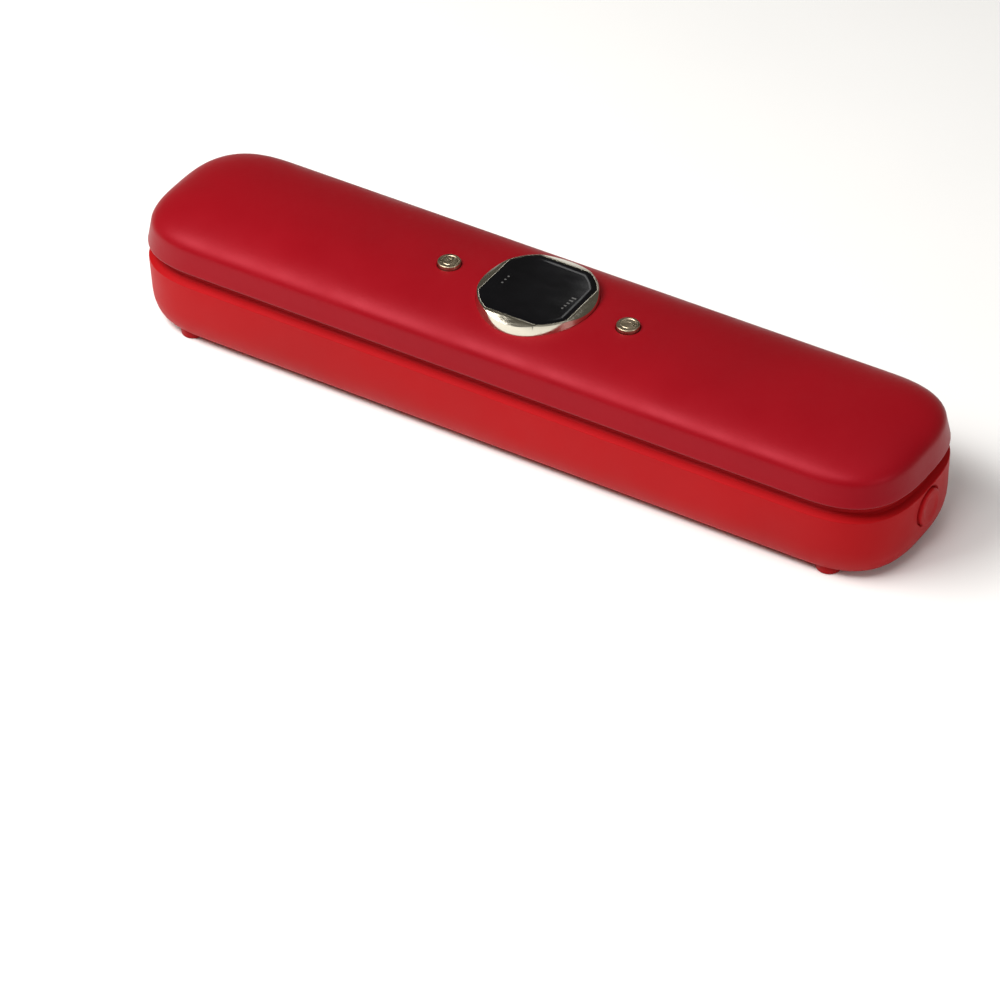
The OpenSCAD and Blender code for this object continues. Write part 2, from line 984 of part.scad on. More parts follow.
base_housing();
base_deck();
feet();
housing_screws();
heater_bar();
heating_strip();
ptfe_tape();
strip_terminals();
lower_gasket();
lid_shell();
lid_liner();
liner_screws();
upper_gasket();
pressure_strip();
hinge_pins();
latch_hook_left();
latch_hook_right();
release_button_left();
release_button_right();
latch_slider_left();
latch_slider_right();
latch_spring_left();
latch_spring_right();
vacuum_button();
seal_button();
panel_frame();
panel_glass();
panel_carrier();
display_module();
control_board();
tact_switches();
board_screws();
motor_can();
motor_bushes();
motor_rotor();
motor_cradle();
pump_head();
pump_cover();
pump_diaphragm();
suction_hose();
power_board();
transformer();
capacitors();
relay();
power_inlet();
inlet_pins();
lid_switch();
switch_plunger();
wiring();
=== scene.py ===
"""Vacuum sealer: the looks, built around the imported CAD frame.

Shapes are worked out in millimetres, in the CAD model's own frame, and stored in metres.
"""

import json
import math

import bmesh
import bpy
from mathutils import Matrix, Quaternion, Vector
from mathutils.bvhtree import BVHTree


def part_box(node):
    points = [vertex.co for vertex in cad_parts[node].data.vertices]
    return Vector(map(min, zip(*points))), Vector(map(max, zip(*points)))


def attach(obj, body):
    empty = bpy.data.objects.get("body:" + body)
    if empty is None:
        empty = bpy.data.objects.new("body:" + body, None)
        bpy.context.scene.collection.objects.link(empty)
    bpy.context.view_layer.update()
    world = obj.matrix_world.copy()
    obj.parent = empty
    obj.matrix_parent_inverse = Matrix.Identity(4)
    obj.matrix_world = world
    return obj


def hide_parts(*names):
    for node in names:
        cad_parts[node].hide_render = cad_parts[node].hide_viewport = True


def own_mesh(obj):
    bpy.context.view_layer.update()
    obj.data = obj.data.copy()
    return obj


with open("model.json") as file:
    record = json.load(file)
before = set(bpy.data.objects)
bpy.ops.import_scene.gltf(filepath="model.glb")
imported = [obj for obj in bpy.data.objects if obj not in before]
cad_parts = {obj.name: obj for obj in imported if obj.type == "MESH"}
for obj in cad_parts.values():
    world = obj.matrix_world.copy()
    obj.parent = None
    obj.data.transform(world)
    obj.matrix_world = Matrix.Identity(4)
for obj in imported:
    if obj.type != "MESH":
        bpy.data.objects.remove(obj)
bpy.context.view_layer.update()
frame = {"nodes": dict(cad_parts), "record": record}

MM = 0.001


def low(node):
    """Lowest corner of a CAD node, in millimetres."""
    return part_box(node)[0] / MM


def high(node):
    """Highest corner of a CAD node, in millimetres."""
    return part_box(node)[1] / MM


# ---------------------------------------------------------------- places taken from the frame

HALF_LENGTH = high("base_housing").x
HALF_DEPTH = high("base_housing").y
STRAIGHT = HALF_LENGTH - HALF_DEPTH
BASE_LOW = low("base_housing").z
DECK_Z = high("base_housing").z
LID_Z = low("lid_shell").z
CROWN_Z = high("lid_shell").z
FRAME_R = high("panel_frame").x
FRAME_LOW = low("panel_frame").z
FRAME_TOP = high("panel_frame").z
PANEL_HALF = high("panel_glass").x
BUTTON_X = (low("seal_button").x + high("seal_button").x) / 2
BUTTON_TOP = high("seal_button").z
HINGE_Y = (low("hinge_pins").y + high("hinge_pins").y) / 2
HINGE_Z = (low("hinge_pins").z + high("hinge_pins").z) / 2
RELEASE_Y = (low("release_button_right").y + high("release_button_right").y) / 2
RELEASE_Z = (low("release_button_right").z + high("release_button_right").z) / 2
RELEASE_IN = low("release_button_right").x
RELEASE_OUT = high("release_button_right").x

# the two casings' shared proportions, as in the CAD model
END_POWER = 2.85
CROWN_POWER = 2.15
CROWN_SINK = 0.3
WALL = 2.2
SIDE_DRAFT = 0.5
TUCK = 5.4
TUCK_HEIGHT = 14
RIM_Z = DECK_Z - 3.5
SHOULDER = 4
LID_SIDE = 9
LID_DRAFT = 1.6
BUTTON_R = (high("seal_button").x - low("seal_button").x) / 2 - 1.1
RELEASE_R = (high("release_button_right").y - low("release_button_right").y) / 2 - 1
PANEL_CORNER = 23.6

STATION = 32  # length of a hinge pin
MOUTH = 0.35  # chamfer round the holes in the lid
STATION_GAP = 0.6  # clearance at each end of a hinge station

# steps along each curve
END_STEPS = 48
SIDE_STEPS = 28
CROWN_STEPS = 34


# ---------------------------------------------------------------- meshes


def new_mesh(name, points, faces):
    """A mesh from points in millimetres."""
    mesh = bpy.data.meshes.new(name)
    mesh.from_pydata([Vector(p) * MM for p in points], [], faces)
    return mesh


def new_object(name, points, faces):
    return bpy.data.objects.new(name, new_mesh(name, points, faces))


def piece(name, points, faces, body, material, nodes=(), sharp=35):
    """A mesh object from points in millimetres, riding on a body and standing for CAD nodes."""
    settle(new_object(name, points, faces), body, material, nodes, sharp)


def settle(obj, body, material, nodes=(), sharp=35):
    """Cleans an object's mesh, shades it smooth up to an angle, and hands it to its body."""
    if obj.name not in bpy.context.scene.collection.objects:
        bpy.context.scene.collection.objects.link(obj)
    tidy_normals(obj.data, sharp)
    hand_over(obj, body, material, nodes)


def hand_over(obj, body, material, nodes=()):
    """Gives an object its material and its body, and hides the CAD nodes that it replaces."""
    obj.data.materials.clear()
    obj.data.materials.append(material)
    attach(obj, body)
    if nodes:
        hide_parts(*nodes)


def tidy_normals(mesh, sharp):
    """Faces outwards, smooth shading, and hard edges where faces meet at over sharp degrees."""
    work = bmesh.new()
    work.from_mesh(mesh)
    bmesh.ops.remove_doubles(work, verts=work.verts, dist=1e-7)
    bmesh.ops.recalc_face_normals(work, faces=work.faces)
    for face in work.faces:
        face.smooth = True
    for edge in work.edges:
        bent = len(edge.link_faces) == 2 and edge.calc_face_angle(0) > math.radians(sharp)
        edge.smooth = not bent
    work.to_mesh(mesh)
    work.free()
    mesh.update()


def outline(inset):
    """Closed plan outline of the body, moved in by inset: superellipse ends and straight sides."""
    half = HALF_DEPTH - inset
    points = []
    for side in (1, -1):
        for k in range(END_STEPS + 1):
            angle = math.pi * (k / END_STEPS - 0.5)
            c, s = math.cos(angle), math.sin(angle)
            r = half * (abs(c) ** END_POWER + abs(s) ** END_POWER) ** (-1 / END_POWER)
            points.append((side * (STRAIGHT + r * c), side * r * s))
        for k in range(1, SIDE_STEPS):
            points.append((side * STRAIGHT * (1 - 2 * k / SIDE_STEPS), side * half))
    return points


def skin(rings, capped=True, looped=False):
    """Points and quads through rings of equal length; the first and last rings may be capped."""
    n = len(rings[0])
    points = [p for ring in rings for p in ring]
    faces = []
    rows = len(rings)
    for i in range(rows if looped else rows - 1):
        a, b = i * n, (i + 1) % rows * n
        for k in range(n):
            m = (k + 1) % n
            faces.append((a + k, a + m, b + m, b + k))
    if capped and not looped:
        faces.append(tuple(range(n)))
        faces.append(tuple(range((rows - 1) * n, rows * n)))
    return points, faces


def loft(profile):
    """The body's outline swept through a list of (inset, z)."""
    return skin([[(x, y, z) for x, y in outline(inset)] for inset, z in profile])


def lathe(profile, centre, axis="Z", steps=96):
    """A solid of revolution from (radius, height), about an axis through centre."""
    rings = []
    for radius, height in profile:
        ring = []
        for k in range(steps):
            angle = 2 * math.pi * k / steps
            u, v = radius * math.cos(angle), radius * math.sin(angle)
            offset = {"Z": (u, v, height), "X": (height, u, v), "Y": (v, height, u)}[axis]
            ring.append(Vector(centre) + Vector(offset))
        rings.append(ring)
    return skin(rings)


def rounded(corners, steps=5):
    """An open line through (u, v, radius) corners, each corner turned into an arc."""
    points = []
    last = len(corners) - 1
    for i, (u, v, radius) in enumerate(corners):
        here = Vector((u, v))
        if radius == 0 or i in (0, last):
            points.append((u, v))
            continue
        to_a = (Vector(corners[i - 1][:2]) - here).normalized()
        to_b = (Vector(corners[i + 1][:2]) - here).normalized()
        half = to_a.angle(to_b) / 2
        centre = here + (to_a + to_b).normalized() * radius / math.sin(half)
        start = here + to_a * radius / math.tan(half) - centre
        turn = math.pi - 2 * half
        way = 1 if start.x * to_a.y - start.y * to_a.x < 0 else -1
        for k in range(steps + 1):
            c, s = math.cos(way * turn * k / steps), math.sin(way * turn * k / steps)
            points.append((centre.x + start.x * c - start.y * s, centre.y + start.x * s + start.y * c))
    return points


def cutter(name, points, faces):
    """A mesh for carve() to cut with, its faces outwards."""
    mesh = new_mesh(name, points, faces)
    work = bmesh.new()
    work.from_mesh(mesh)
    bmesh.ops.recalc_face_normals(work, faces=work.faces)
    work.to_mesh(mesh)
    work.free()
    return mesh


def block(x, y, z):
    """Points and faces of a box between limits."""
    points = [(x[i], y[j], z[k]) for i in (0, 1) for j in (0, 1) for k in (0, 1)]
    faces = [(0, 1, 3, 2), (4, 6, 7, 5), (0, 4, 5, 1), (2, 3, 7, 6), (0, 2, 6, 4), (1, 5, 7, 3)]
    return points, faces


def joined(shapes):
    """Several (points, faces) as one."""
    points, faces = [], []
    for more_points, more_faces in shapes:
        start = len(points)
        points += more_points
        faces += [tuple(start + i for i in face) for face in more_faces]
    return points, faces


def carve(obj, tools, keep_normals=True):
    """Cuts every tool (points, faces) out of obj, keeping the smooth normals of what is left."""
    whole = obj.data.copy()
    tidy_normals(whole, 35)
    cuts = bmesh.new()
    for k, (points, faces) in enumerate(tools):
        mesh = cutter(f"cut_{k}", points, faces)
        cuts.from_mesh(mesh)
        bpy.data.meshes.remove(mesh)
    mesh = bpy.data.meshes.new("cuts")
    cuts.to_mesh(mesh)
    cuts.free()
    tool = bpy.data.objects.new("cuts", mesh)
    scene = bpy.context.scene.collection
    scene.objects.link(tool)
    if obj.name not in scene.objects:
        scene.objects.link(obj)
    tidy_normals(obj.data, 35)
    change = obj.modifiers.new("carve", "BOOLEAN")
    change.operation = "DIFFERENCE"
    change.solver = "EXACT"
    change.use_self = True
    change.object = tool
    apply_modifiers(obj)
    bpy.data.objects.remove(tool)
    bpy.data.meshes.remove(mesh)
    tidy_normals(obj.data, 30)
    if keep_normals:
        borrow_normals(obj.data, whole)
    bpy.data.meshes.remove(whole)


def apply_modifiers(obj):
    """Replaces obj's mesh by its modified one."""
    graph = bpy.context.evaluated_depsgraph_get()
    made = bpy.data.meshes.new_from_object(obj.evaluated_get(graph))
    old = obj.data
    obj.modifiers.clear()
    obj.data = made
    bpy.data.meshes.remove(old)


def borrow_normals(mesh, whole):
    """Gives faces that lie on the uncut surface that surface's own smooth normals."""
    tree = BVHTree.FromPolygons([v.co for v in whole.vertices], [p.vertices[:] for p in whole.polygons])
    corner = [Vector(n.vector) for n in mesh.corner_normals]
    source = [Vector(n.vector) for n in whole.corner_normals]
    for face in mesh.polygons:
        spot, normal, index, gap = tree.find_nearest(face.center)
        if gap > 2e-6 or normal.dot(face.normal) < 0.98:
            continue
        for loop in face.loop_indices:
            here = mesh.vertices[mesh.loops[loop].vertex_index].co
            spot, normal, index, gap = tree.find_nearest(here)
            total = Vector((0, 0, 0))
            for near in whole.polygons[index].loop_indices:
                co = whole.vertices[whole.loops[near].vertex_index].co
                total += source[near] / max((co - here).length, 1e-7)
            if total.normalized().dot(face.normal) > 0.94:
                corner[loop] = total.normalized()
    mesh.normals_split_custom_set(corner)


def soften(obj, width):
    """Rounds the sharp edges of an object by width millimetres."""
    weld = obj.modifiers.new("weld", "WELD")
    weld.merge_threshold = 1e-6
    edge = obj.modifiers.new("edge", "BEVEL")
    edge.width = width * MM
    edge.segments = 2
    edge.limit_method = "ANGLE"
    edge.angle_limit = math.radians(40)
    edge.harden_normals = True


# ---------------------------------------------------------------- materials


class Look:
    """A node material around one Principled shader, with helpers for its textures."""

    def __init__(self, name, metallic=0.0, ior=1.5, coat=0.0, coat_roughness=0.1):
        self.material = bpy.data.materials.new(name)
        self.material.use_nodes = True
        self.tree = self.material.node_tree
        self.shader = self.tree.nodes["Principled BSDF"]
        self.shader.inputs["Metallic"].default_value = metallic
        self.shader.inputs["IOR"].default_value = ior
        self.shader.inputs["Coat Weight"].default_value = coat
        self.shader.inputs["Coat Roughness"].default_value = coat_roughness
        self.place = self.add("ShaderNodeTexCoord").outputs["Object"]
        self.height = None

    def add(self, kind, **values):
        node = self.tree.nodes.new(kind)
        for key, value in values.items():
            setattr(node, key, value)
        return node

    def link(self, source, target):
        self.tree.links.new(source, target)

    def stretched(self, x, y, z):
        """Object coordinates scaled along each axis."""
        node = self.add("ShaderNodeMapping")
        node.inputs["Scale"].default_value = (x, y, z)
        self.link(self.place, node.inputs["Vector"])
        return node.outputs["Vector"]

    def noise(self, scale, detail=3.0, place=None):
        node = self.add("ShaderNodeTexNoise")
        node.inputs["Scale"].default_value = scale
        node.inputs["Detail"].default_value = detail
        self.link(place or self.place, node.inputs["Vector"])
        return node.outputs["Fac"]

    def cells(self, scale):
        node = self.add("ShaderNodeTexVoronoi")
        node.inputs["Scale"].default_value = scale
        self.link(self.place, node.inputs["Vector"])
        return node.outputs["Distance"]

    def waves(self, scale, direction, distortion=0.0):
        node = self.add("ShaderNodeTexWave", bands_direction=direction)
        node.inputs["Scale"].default_value = scale
        node.inputs["Distortion"].default_value = distortion
        self.link(self.place, node.inputs["Vector"])
        return node.outputs["Fac"]

    def spread(self, value, start, end, at=(0.3, 0.7)):
        """Maps a texture's value onto a range of numbers."""
        node = self.add("ShaderNodeMapRange")
        node.inputs["From Min"].default_value = at[0]
        node.inputs["From Max"].default_value = at[1]
        node.inputs["To Min"].default_value = start
        node.inputs["To Max"].default_value = end
        self.link(value, node.inputs["Value"])
        return node.outputs["Result"]

    def colours(self, value, first, second, at=(0.3, 0.7)):
        """Blends two colours by a texture's value."""
        node = self.add("ShaderNodeValToRGB")
        stops = node.color_ramp.elements
        stops[0].position, stops[0].color = at[0], (*first, 1)
        stops[1].position, stops[1].color = at[1], (*second, 1)
        self.link(value, node.inputs["Fac"])
        return node.outputs["Color"]

    def mix(self, factor, first, second):
        node = self.add("ShaderNodeMix", data_type="RGBA")
        self.link(factor, node.inputs["Factor"])
        self.link(first, node.inputs["A"])
        self.link(second, node.inputs["B"])
        return node.outputs["Result"]

    def colour(self, source):
        self.link(source, self.shader.inputs["Base Color"])

    def roughness(self, source):
        self.link(source, self.shader.inputs["Roughness"])

    def bump(self, height, distance, strength=1.0):
        """Adds a layer of bump, distance in millimetres, on top of the layers before it."""
        node = self.add("ShaderNodeBump")
        node.inputs["Distance"].default_value = distance * MM
        node.inputs["Strength"].default_value = strength
        self.link(height, node.inputs["Height"])
        if self.height:
            self.link(self.height, node.inputs["Normal"])
        self.height = node.outputs["Normal"]
        self.link(self.height, self.shader.inputs["Normal"])


def shade(colour, factor):
    """A lighter or darker colour."""
    return tuple(min(1.0, c * factor) for c in colour)


def moulded(name, colour, rough, peel=0.012, peel_scale=900, variation=0.07, shine=0.5, sheen=(1, 1, 1)):
    """Injection-moulded plastic: slight colour drift, uneven gloss, orange peel and faint specks."""
    look = Look(name)
    look.shader.inputs["Specular IOR Level"].default_value = shine
    look.shader.inputs["Specular Tint"].default_value = (*sheen, 1)
    drift = look.colours(look.noise(14), shade(colour, 1 - variation), shade(colour, 1 + variation))
    specks = look.spread(look.cells(420), 1.0, 0.0, at=(0.0, 0.09))
    pale = look.colours(specks, shade(colour, 1.0), shade(colour, 1.35), at=(0.4, 1.0))
    look.colour(look.mix(specks, drift, pale))
    look.roughness(look.spread(look.noise(55), rough - 0.05, rough + 0.06))
    look.bump(look.noise(38, 2.0), 0.05, 0.35)
    look.bump(look.noise(peel_scale, 2.0), peel)
    return look.material


def metal(name, colour, rough, grain=(1, 1, 1), grain_scale=600, depth=0.004):
    """Metal with drifting tone and a directional grain."""
    look = Look(name, metallic=1.0)
    look.colour(look.colours(look.noise(90), shade(colour, 0.88), shade(colour, 1.08)))
    lines = look.noise(grain_scale, 3.0, look.stretched(*grain))
    look.roughness(look.spread(lines, rough * 0.75, rough * 1.3))
    look.bump(lines, depth)
    return look.material


def polished(name, colour):
    """Bright plating with faint wipe marks."""
    look = Look(name, metallic=1.0)
    look.colour(look.colours(look.noise(120), shade(colour, 0.95), shade(colour, 1.03)))
    look.roughness(look.spread(look.noise(260, 4.0, look.stretched(1, 4, 1)), 0.07, 0.15))
    look.bump(look.noise(70, 1.0), 0.006)
    return look.material


def panel_black():
    """Dark polished window, with faint smudges in its gloss."""
    look = Look("panel_black", ior=1.42)
    look.shader.inputs["Specular IOR Level"].default_value = 0.25
    look.colour(look.colours(look.noise(60), (0.002, 0.002, 0.0025), (0.004, 0.004, 0.005)))
    smudge = look.noise(95, 5.0, look.stretched(1, 2.5, 1))
    look.roughness(look.spread(smudge, 0.06, 0.1, at=(0.35, 0.75)))
    look.bump(look.noise(45, 1.0), 0.0005)
    return look.material


def soft_rubber(name, colour, scale=2600, depth=0.02):
    """Closed-cell foam or silicone: a fine cellular surface with a little dust."""
    look = Look(name)
    look.colour(look.colours(look.noise(160, 4.0), shade(colour, 0.85), shade(colour, 1.2)))
    look.roughness(look.spread(look.noise(300), 0.72, 0.9))
    look.shader.inputs["Sheen Weight"].default_value = 0.15
    look.bump(look.cells(scale), depth)
    return look.material


def tape_weave():
    """Brown PTFE-coated glass cloth: a fine plain weave with a slick surface."""
    look = Look("tape_weave", coat=0.2, coat_roughness=0.25)
    across = look.waves(260, "X")
    along = look.waves(260, "Y")
    weave = look.add("ShaderNodeMath", operation="MULTIPLY")
    look.link(across, weave.inputs[0])
    look.link(along, weave.inputs[1])
    value = weave.outputs["Value"]
    look.colour(look.colours(value, (0.20, 0.115, 0.05), (0.36, 0.22, 0.11), at=(0.0, 0.8)))
    look.roughness(look.spread(look.noise(200), 0.35, 0.5))
    look.bump(value, 0.03)
    return look.material


def board_green():
    """Lacquered circuit board: green mask over a net of straight traces."""
    look = Look("board_green", coat=0.3, coat_roughness=0.2)
    bricks = look.add("ShaderNodeTexBrick")
    bricks.inputs["Scale"].default_value = 90
    bricks.inputs["Color1"].default_value = (0.010, 0.085, 0.030, 1)
    bricks.inputs["Color2"].default_value = (0.012, 0.110, 0.040, 1)
    bricks.inputs["Mortar"].default_value = (0.05, 0.22, 0.09, 1)
    bricks.inputs["Mortar Size"].default_value = 0.012
    look.link(look.place, bricks.inputs["Vector"])
    look.colour(bricks.outputs["Color"])
    look.roughness(look.spread(look.noise(150), 0.3, 0.45))
    look.bump(bricks.outputs["Fac"], 0.02)
    return look.material


def glossy(name, colour, rough=0.3):
    """Small smooth mouldings and sleeves."""
    look = Look(name, coat=0.2, coat_roughness=0.15)
    look.colour(look.colours(look.noise(80), shade(colour, 0.85), shade(colour, 1.15)))
    look.roughness(look.spread(look.noise(240), rough - 0.06, rough + 0.08))
    look.bump(look.noise(700, 2.0), 0.008)
    return look.material


def wound(name, colour):
    """Windings under tape: fine parallel turns."""
    look = Look(name)
    turns = look.waves(320, "X", 0.4)
    look.colour(look.colours(turns, shade(colour, 0.7), shade(colour, 1.15), at=(0.1, 0.9)))
    look.roughness(look.spread(look.noise(200), 0.4, 0.6))
    look.bump(turns, 0.05)
    return look.material


# One red plastic in two copies. The lid's copy is darkened as painted shade, standing in for less light on
# its top.
LID_RED_PAINTED_SHADE = (0.250, 0.0022, 0.0066)
# The base's copy is lightened as painted light, standing in for more light on its upright walls; the feet
# take a darker copy of it.
BASE_RED_PAINTED_LIGHT = (0.370, 0.0055, 0.0070)
RED_SHEEN = (1.0, 0.16, 0.22)

LOOKS = {
    "lid_plastic": moulded("lid_plastic", LID_RED_PAINTED_SHADE, 0.44, 0.035, 520, shine=0.5, sheen=RED_SHEEN),
    "base_plastic": moulded("base_plastic", BASE_RED_PAINTED_LIGHT, 0.52, 0.02, 520, shine=0.25, sheen=RED_SHEEN),
    "foot_plastic": moulded("foot_plastic", shade(BASE_RED_PAINTED_LIGHT, 0.8), 0.5, 0.02, shine=0.25, sheen=RED_SHEEN),
    "black_plastic": moulded("black_plastic", (0.018, 0.018, 0.020), 0.5, peel=0.02, peel_scale=1500),
    "gasket_rubber": soft_rubber("gasket_rubber", (0.026, 0.026, 0.028)),
    "silicone": soft_rubber("silicone", (0.50, 0.48, 0.45), 3200, 0.008),
    "ptfe_cloth": tape_weave(),
    "heating_alloy": metal("heating_alloy", (0.50, 0.49, 0.47), 0.32, (1, 40, 40), 300),
    "steel": metal("steel", (0.60, 0.60, 0.61), 0.28, (1, 12, 12), 500),
    "chrome": polished("chrome", (0.66, 0.62, 0.52)),
    "button_nickel": metal("button_nickel", (0.47, 0.385, 0.27), 0.3, (1, 1, 1), 500, 0.0015),
    "panel_black": panel_black(),
    "display_black": glossy("display_black", (0.02, 0.02, 0.025), 0.25),
    "circuit_board": board_green(),
    "brass": metal("brass", (0.70, 0.50, 0.22), 0.3, (12, 1, 1), 500),
    "motor_iron": metal("motor_iron", (0.32, 0.31, 0.30), 0.45, (60, 1, 1), 400, 0.02),
    "pump_plastic": moulded("pump_plastic", (0.19, 0.19, 0.20), 0.5, peel=0.02),
    "coil_tape": wound("coil_tape", (0.60, 0.40, 0.06)),
    "capacitor_sleeve": glossy("capacitor_sleeve", (0.015, 0.02, 0.09)),
    "relay_case": glossy("relay_case", (0.01, 0.06, 0.26)),
    "wire_cover": glossy("wire_cover", (0.45, 0.02, 0.02), 0.35),
}

# ---------------------------------------------------------------- casings


def tuck(skin_depth):
    """Rounded underside of the base, from the flat bottom to the upright wall."""
    rows = []
    steps = 12
    for k in range(steps + 1):
        a = math.radians(90 * k / steps)
        inset = SIDE_DRAFT + skin_depth + TUCK * (1 - math.sin(a))
        rows.append((inset, BASE_LOW + skin_depth + (TUCK_HEIGHT - skin_depth) * (1 - math.cos(a))))
    return rows


def base_profile():
    """The base's skin in section: up the outside, over the crisp rim and the ledge, down the inside."""
    inner = SHOULDER + 1.2
    top = rounded(
        [
            (*tuck(0)[-1], 0),
            (0.05, RIM_Z - 0.1, 0.5),
            (SHOULDER - 1.1, RIM_Z + 1.1, 1.0),
            (SHOULDER, RIM_Z + 2, 0.5),
            (SHOULDER + 0.2, DECK_Z, 0.4),
            (inner, DECK_Z, 0.2),
            (inner, RIM_Z - 0.7, 0.3),
            (WALL + 0.4, RIM_Z - 3.5, 1.0),
            (*tuck(WALL)[-1], 0),
        ]
    )
    return tuck(0)[:-1] + top + tuck(WALL)[-2::-1]


def crown(skin_depth, drop):
    """Rings of the dome, from just above the crease to the ridge."""
    base = LID_Z + LID_SIDE - CROWN_SINK - drop
    height = CROWN_Z - skin_depth - base
    first = CROWN_SINK / height
    reach = (HALF_DEPTH - LID_DRAFT - skin_depth) / (1 - first**CROWN_POWER) ** (1 / CROWN_POWER)
    start = math.asin(first ** (CROWN_POWER / 2))
    rows = []
    for k in range(CROWN_STEPS + 1):
        a = start + (math.pi / 2 - start) * k / CROWN_STEPS
        across = max(0.0, math.cos(a)) ** (2 / CROWN_POWER)
        up = math.sin(a) ** (2 / CROWN_POWER)
        rows.append((min(HALF_DEPTH - 0.4, HALF_DEPTH - reach * across), base + height * up))
    return rows


def lid_profile():
    """The lid's skin in section: down the inside of the dome, round the lower edge, up the outside."""
    inner, outer = crown(WALL, 1)[1:], crown(0, 0)[2:]
    edge = rounded(
        [
            (*inner[0], 0),
            (LID_DRAFT + WALL, LID_Z + LID_SIDE - 1, 1.5),
            (WALL + 0.2, LID_Z, 0.35),
            (0.05, LID_Z, 0.9),
            (0.15, LID_Z + 1.2, 1.5),
            (LID_DRAFT / 2, LID_Z + LID_SIDE / 2, 12),
            (LID_DRAFT, LID_Z + LID_SIDE, 2.5),
            (*outer[0], 0),
        ]
    )
    return inner[:0:-1] + edge + outer[1:]


def hinge_clearance(radius):
    """Two cylinders round the hinge stations, to be cut away."""
    tools = []
    pin_low, pin_high = low("hinge_pins"), high("hinge_pins")
    for end, way in ((pin_low.x, 1), (pin_high.x, -1)):
        start = end - way * STATION_GAP
        reach = way * (STATION + 2 * STATION_GAP)
        spot = (min(start, start + reach), HINGE_Y, HINGE_Z)
        tools.append(lathe([(radius, 0), (radius, abs(reach))], spot, "X", 48))
    return tools


def make_lid():
    """Domed lid, with holes for the panel and the push buttons, and room for the hinge."""
    lid = new_object("lid_dome", *loft(lid_profile()))
    panel_hole = FRAME_R + 0.15
    tools = [lathe([(panel_hole, CROWN_Z - 14), (panel_hole, CROWN_Z + 5)], (0, 0, 0), steps=128)]
    hole = BUTTON_R + 0.2
    for side in (1, -1):
        profile = [
            (hole, CROWN_Z - 12),
            (hole, CROWN_Z - MOUTH),
            (hole + MOUTH, CROWN_Z),
            (hole + MOUTH + 3, CROWN_Z + 3),
        ]
        tools.append(lathe(profile, (side * BUTTON_X, 0, 0), steps=64))
    tools += hinge_clearance(3.4)
    carve(lid, tools)
    hand_over(lid, "lid", LOOKS["lid_plastic"], ["lid_shell"])


def stadium(length, width, steps=24):
    """Closed outline with round ends, as (x, y, outward x, outward y)."""
    points = []
    r = width / 2
    for side in (1, -1):
        for k in range(steps + 1):
            angle = math.pi * (k / steps - 0.5)
            c, s = side * math.cos(angle), side * math.sin(angle)
            points.append((side * (length / 2 - r) + r * c, r * s, c, s))
    return points


def inlet_opening(length, height):
    """A stadium-shaped bar through the back wall, where the mains inlet sits."""
    middle = (low("power_inlet") + high("power_inlet")) / 2
    rings = []
    for y in (HALF_DEPTH - 5, HALF_DEPTH + 5):
        rings.append([(middle.x + u, y, middle.z + v) for u, v, _, _ in stadium(length, height)])
    return skin(rings)


def vent(x, length, width):
    """A round-ended slot through the floor of the base."""
    centre_y = -3
    rings = []
    for z in (0, BASE_LOW + WALL + 1):
        rings.append([(x + v, centre_y + u, z) for u, v, _, _ in stadium(length, width, 8)])
    return skin(rings)


def islands(node):
    """Lowest and highest corner of each separate solid of a CAD node, in millimetres."""
    work = bmesh.new()
    work.from_mesh(frame["nodes"][node].data)
    bmesh.ops.remove_doubles(work, verts=work.verts, dist=1e-6)
    seen, found = set(), []
    for start in work.verts:
        if start in seen:
            continue
        group, queue = [], [start]
        seen.add(start)
        while queue:
            v = queue.pop()
            group.append(v.co.copy())
            for edge in v.link_edges:
                other = edge.other_vert(v)
                if other not in seen:
                    seen.add(other)
                    queue.append(other)
        lows = [min(c[i] for c in group) / MM for i in range(3)]
        highs = [max(c[i] for c in group) / MM for i in range(3)]
        found.append((Vector(lows), Vector(highs)))
    work.free()
    return found


def make_base():
    """Base housing, with holes for the release buttons, hinge, screws, feet, vents and inlet."""
    base = new_object("base_tub", *loft(base_profile()))
    tools = []
    hole = RELEASE_R + 0.25
    for side in (1, -1):
        wall_at = side * (HALF_LENGTH - SIDE_DRAFT - 0.2)
        profile = [
            (hole, side * 165),
            (hole, wall_at - side * 0.7),
            (hole + 1.6, wall_at + side * 1.6),
            (hole + 1.6, side * 190),
        ]
        tools.append(lathe(profile, (0, RELEASE_Y, RELEASE_Z), "X", 64))
    pin_low, pin_high = low("hinge_pins"), high("hinge_pins")
    for x0, x1 in ((pin_low.x, pin_low.x + STATION), (pin_high.x - STATION, pin_high.x)):
        notch_y, notch_z = (31.4, HALF_DEPTH + 3), (DECK_Z - 3.1, DECK_Z + 3)
        tools.append(block((x0 - STATION_GAP, x1 + STATION_GAP), notch_y, notch_z))
    for lows, highs in islands("housing_screws"):
        spot = ((lows.x + highs.x) / 2, (lows.y + highs.y) / 2, 0)
        seat = [(3.5, -1), (3.5, BASE_LOW), (3.2, BASE_LOW + 0.3), (3.2, BASE_LOW + 1.4)]
        tools.append(lathe(seat, spot, steps=40))
        tools.append(lathe([(1.7, 0), (1.7, BASE_LOW + WALL + 1)], spot, steps=24))
    for lows, highs in islands("feet"):
        spot = ((lows.x + highs.x) / 2, (lows.y + highs.y) / 2, 0)
        tools.append(lathe([(5.5, -1), (5.5, highs.z + 0.01)], spot, steps=48))
    for k in range(8):
        tools.append(vent(25 + 9 * k, 22, 2))
    tools.append(inlet_opening(20.3, 12.7))
    carve(base, tools)
    hand_over(base, "base", LOOKS["base_plastic"], ["base_housing"])


make_lid()
make_base()

# ---------------------------------------------------------------- control panel


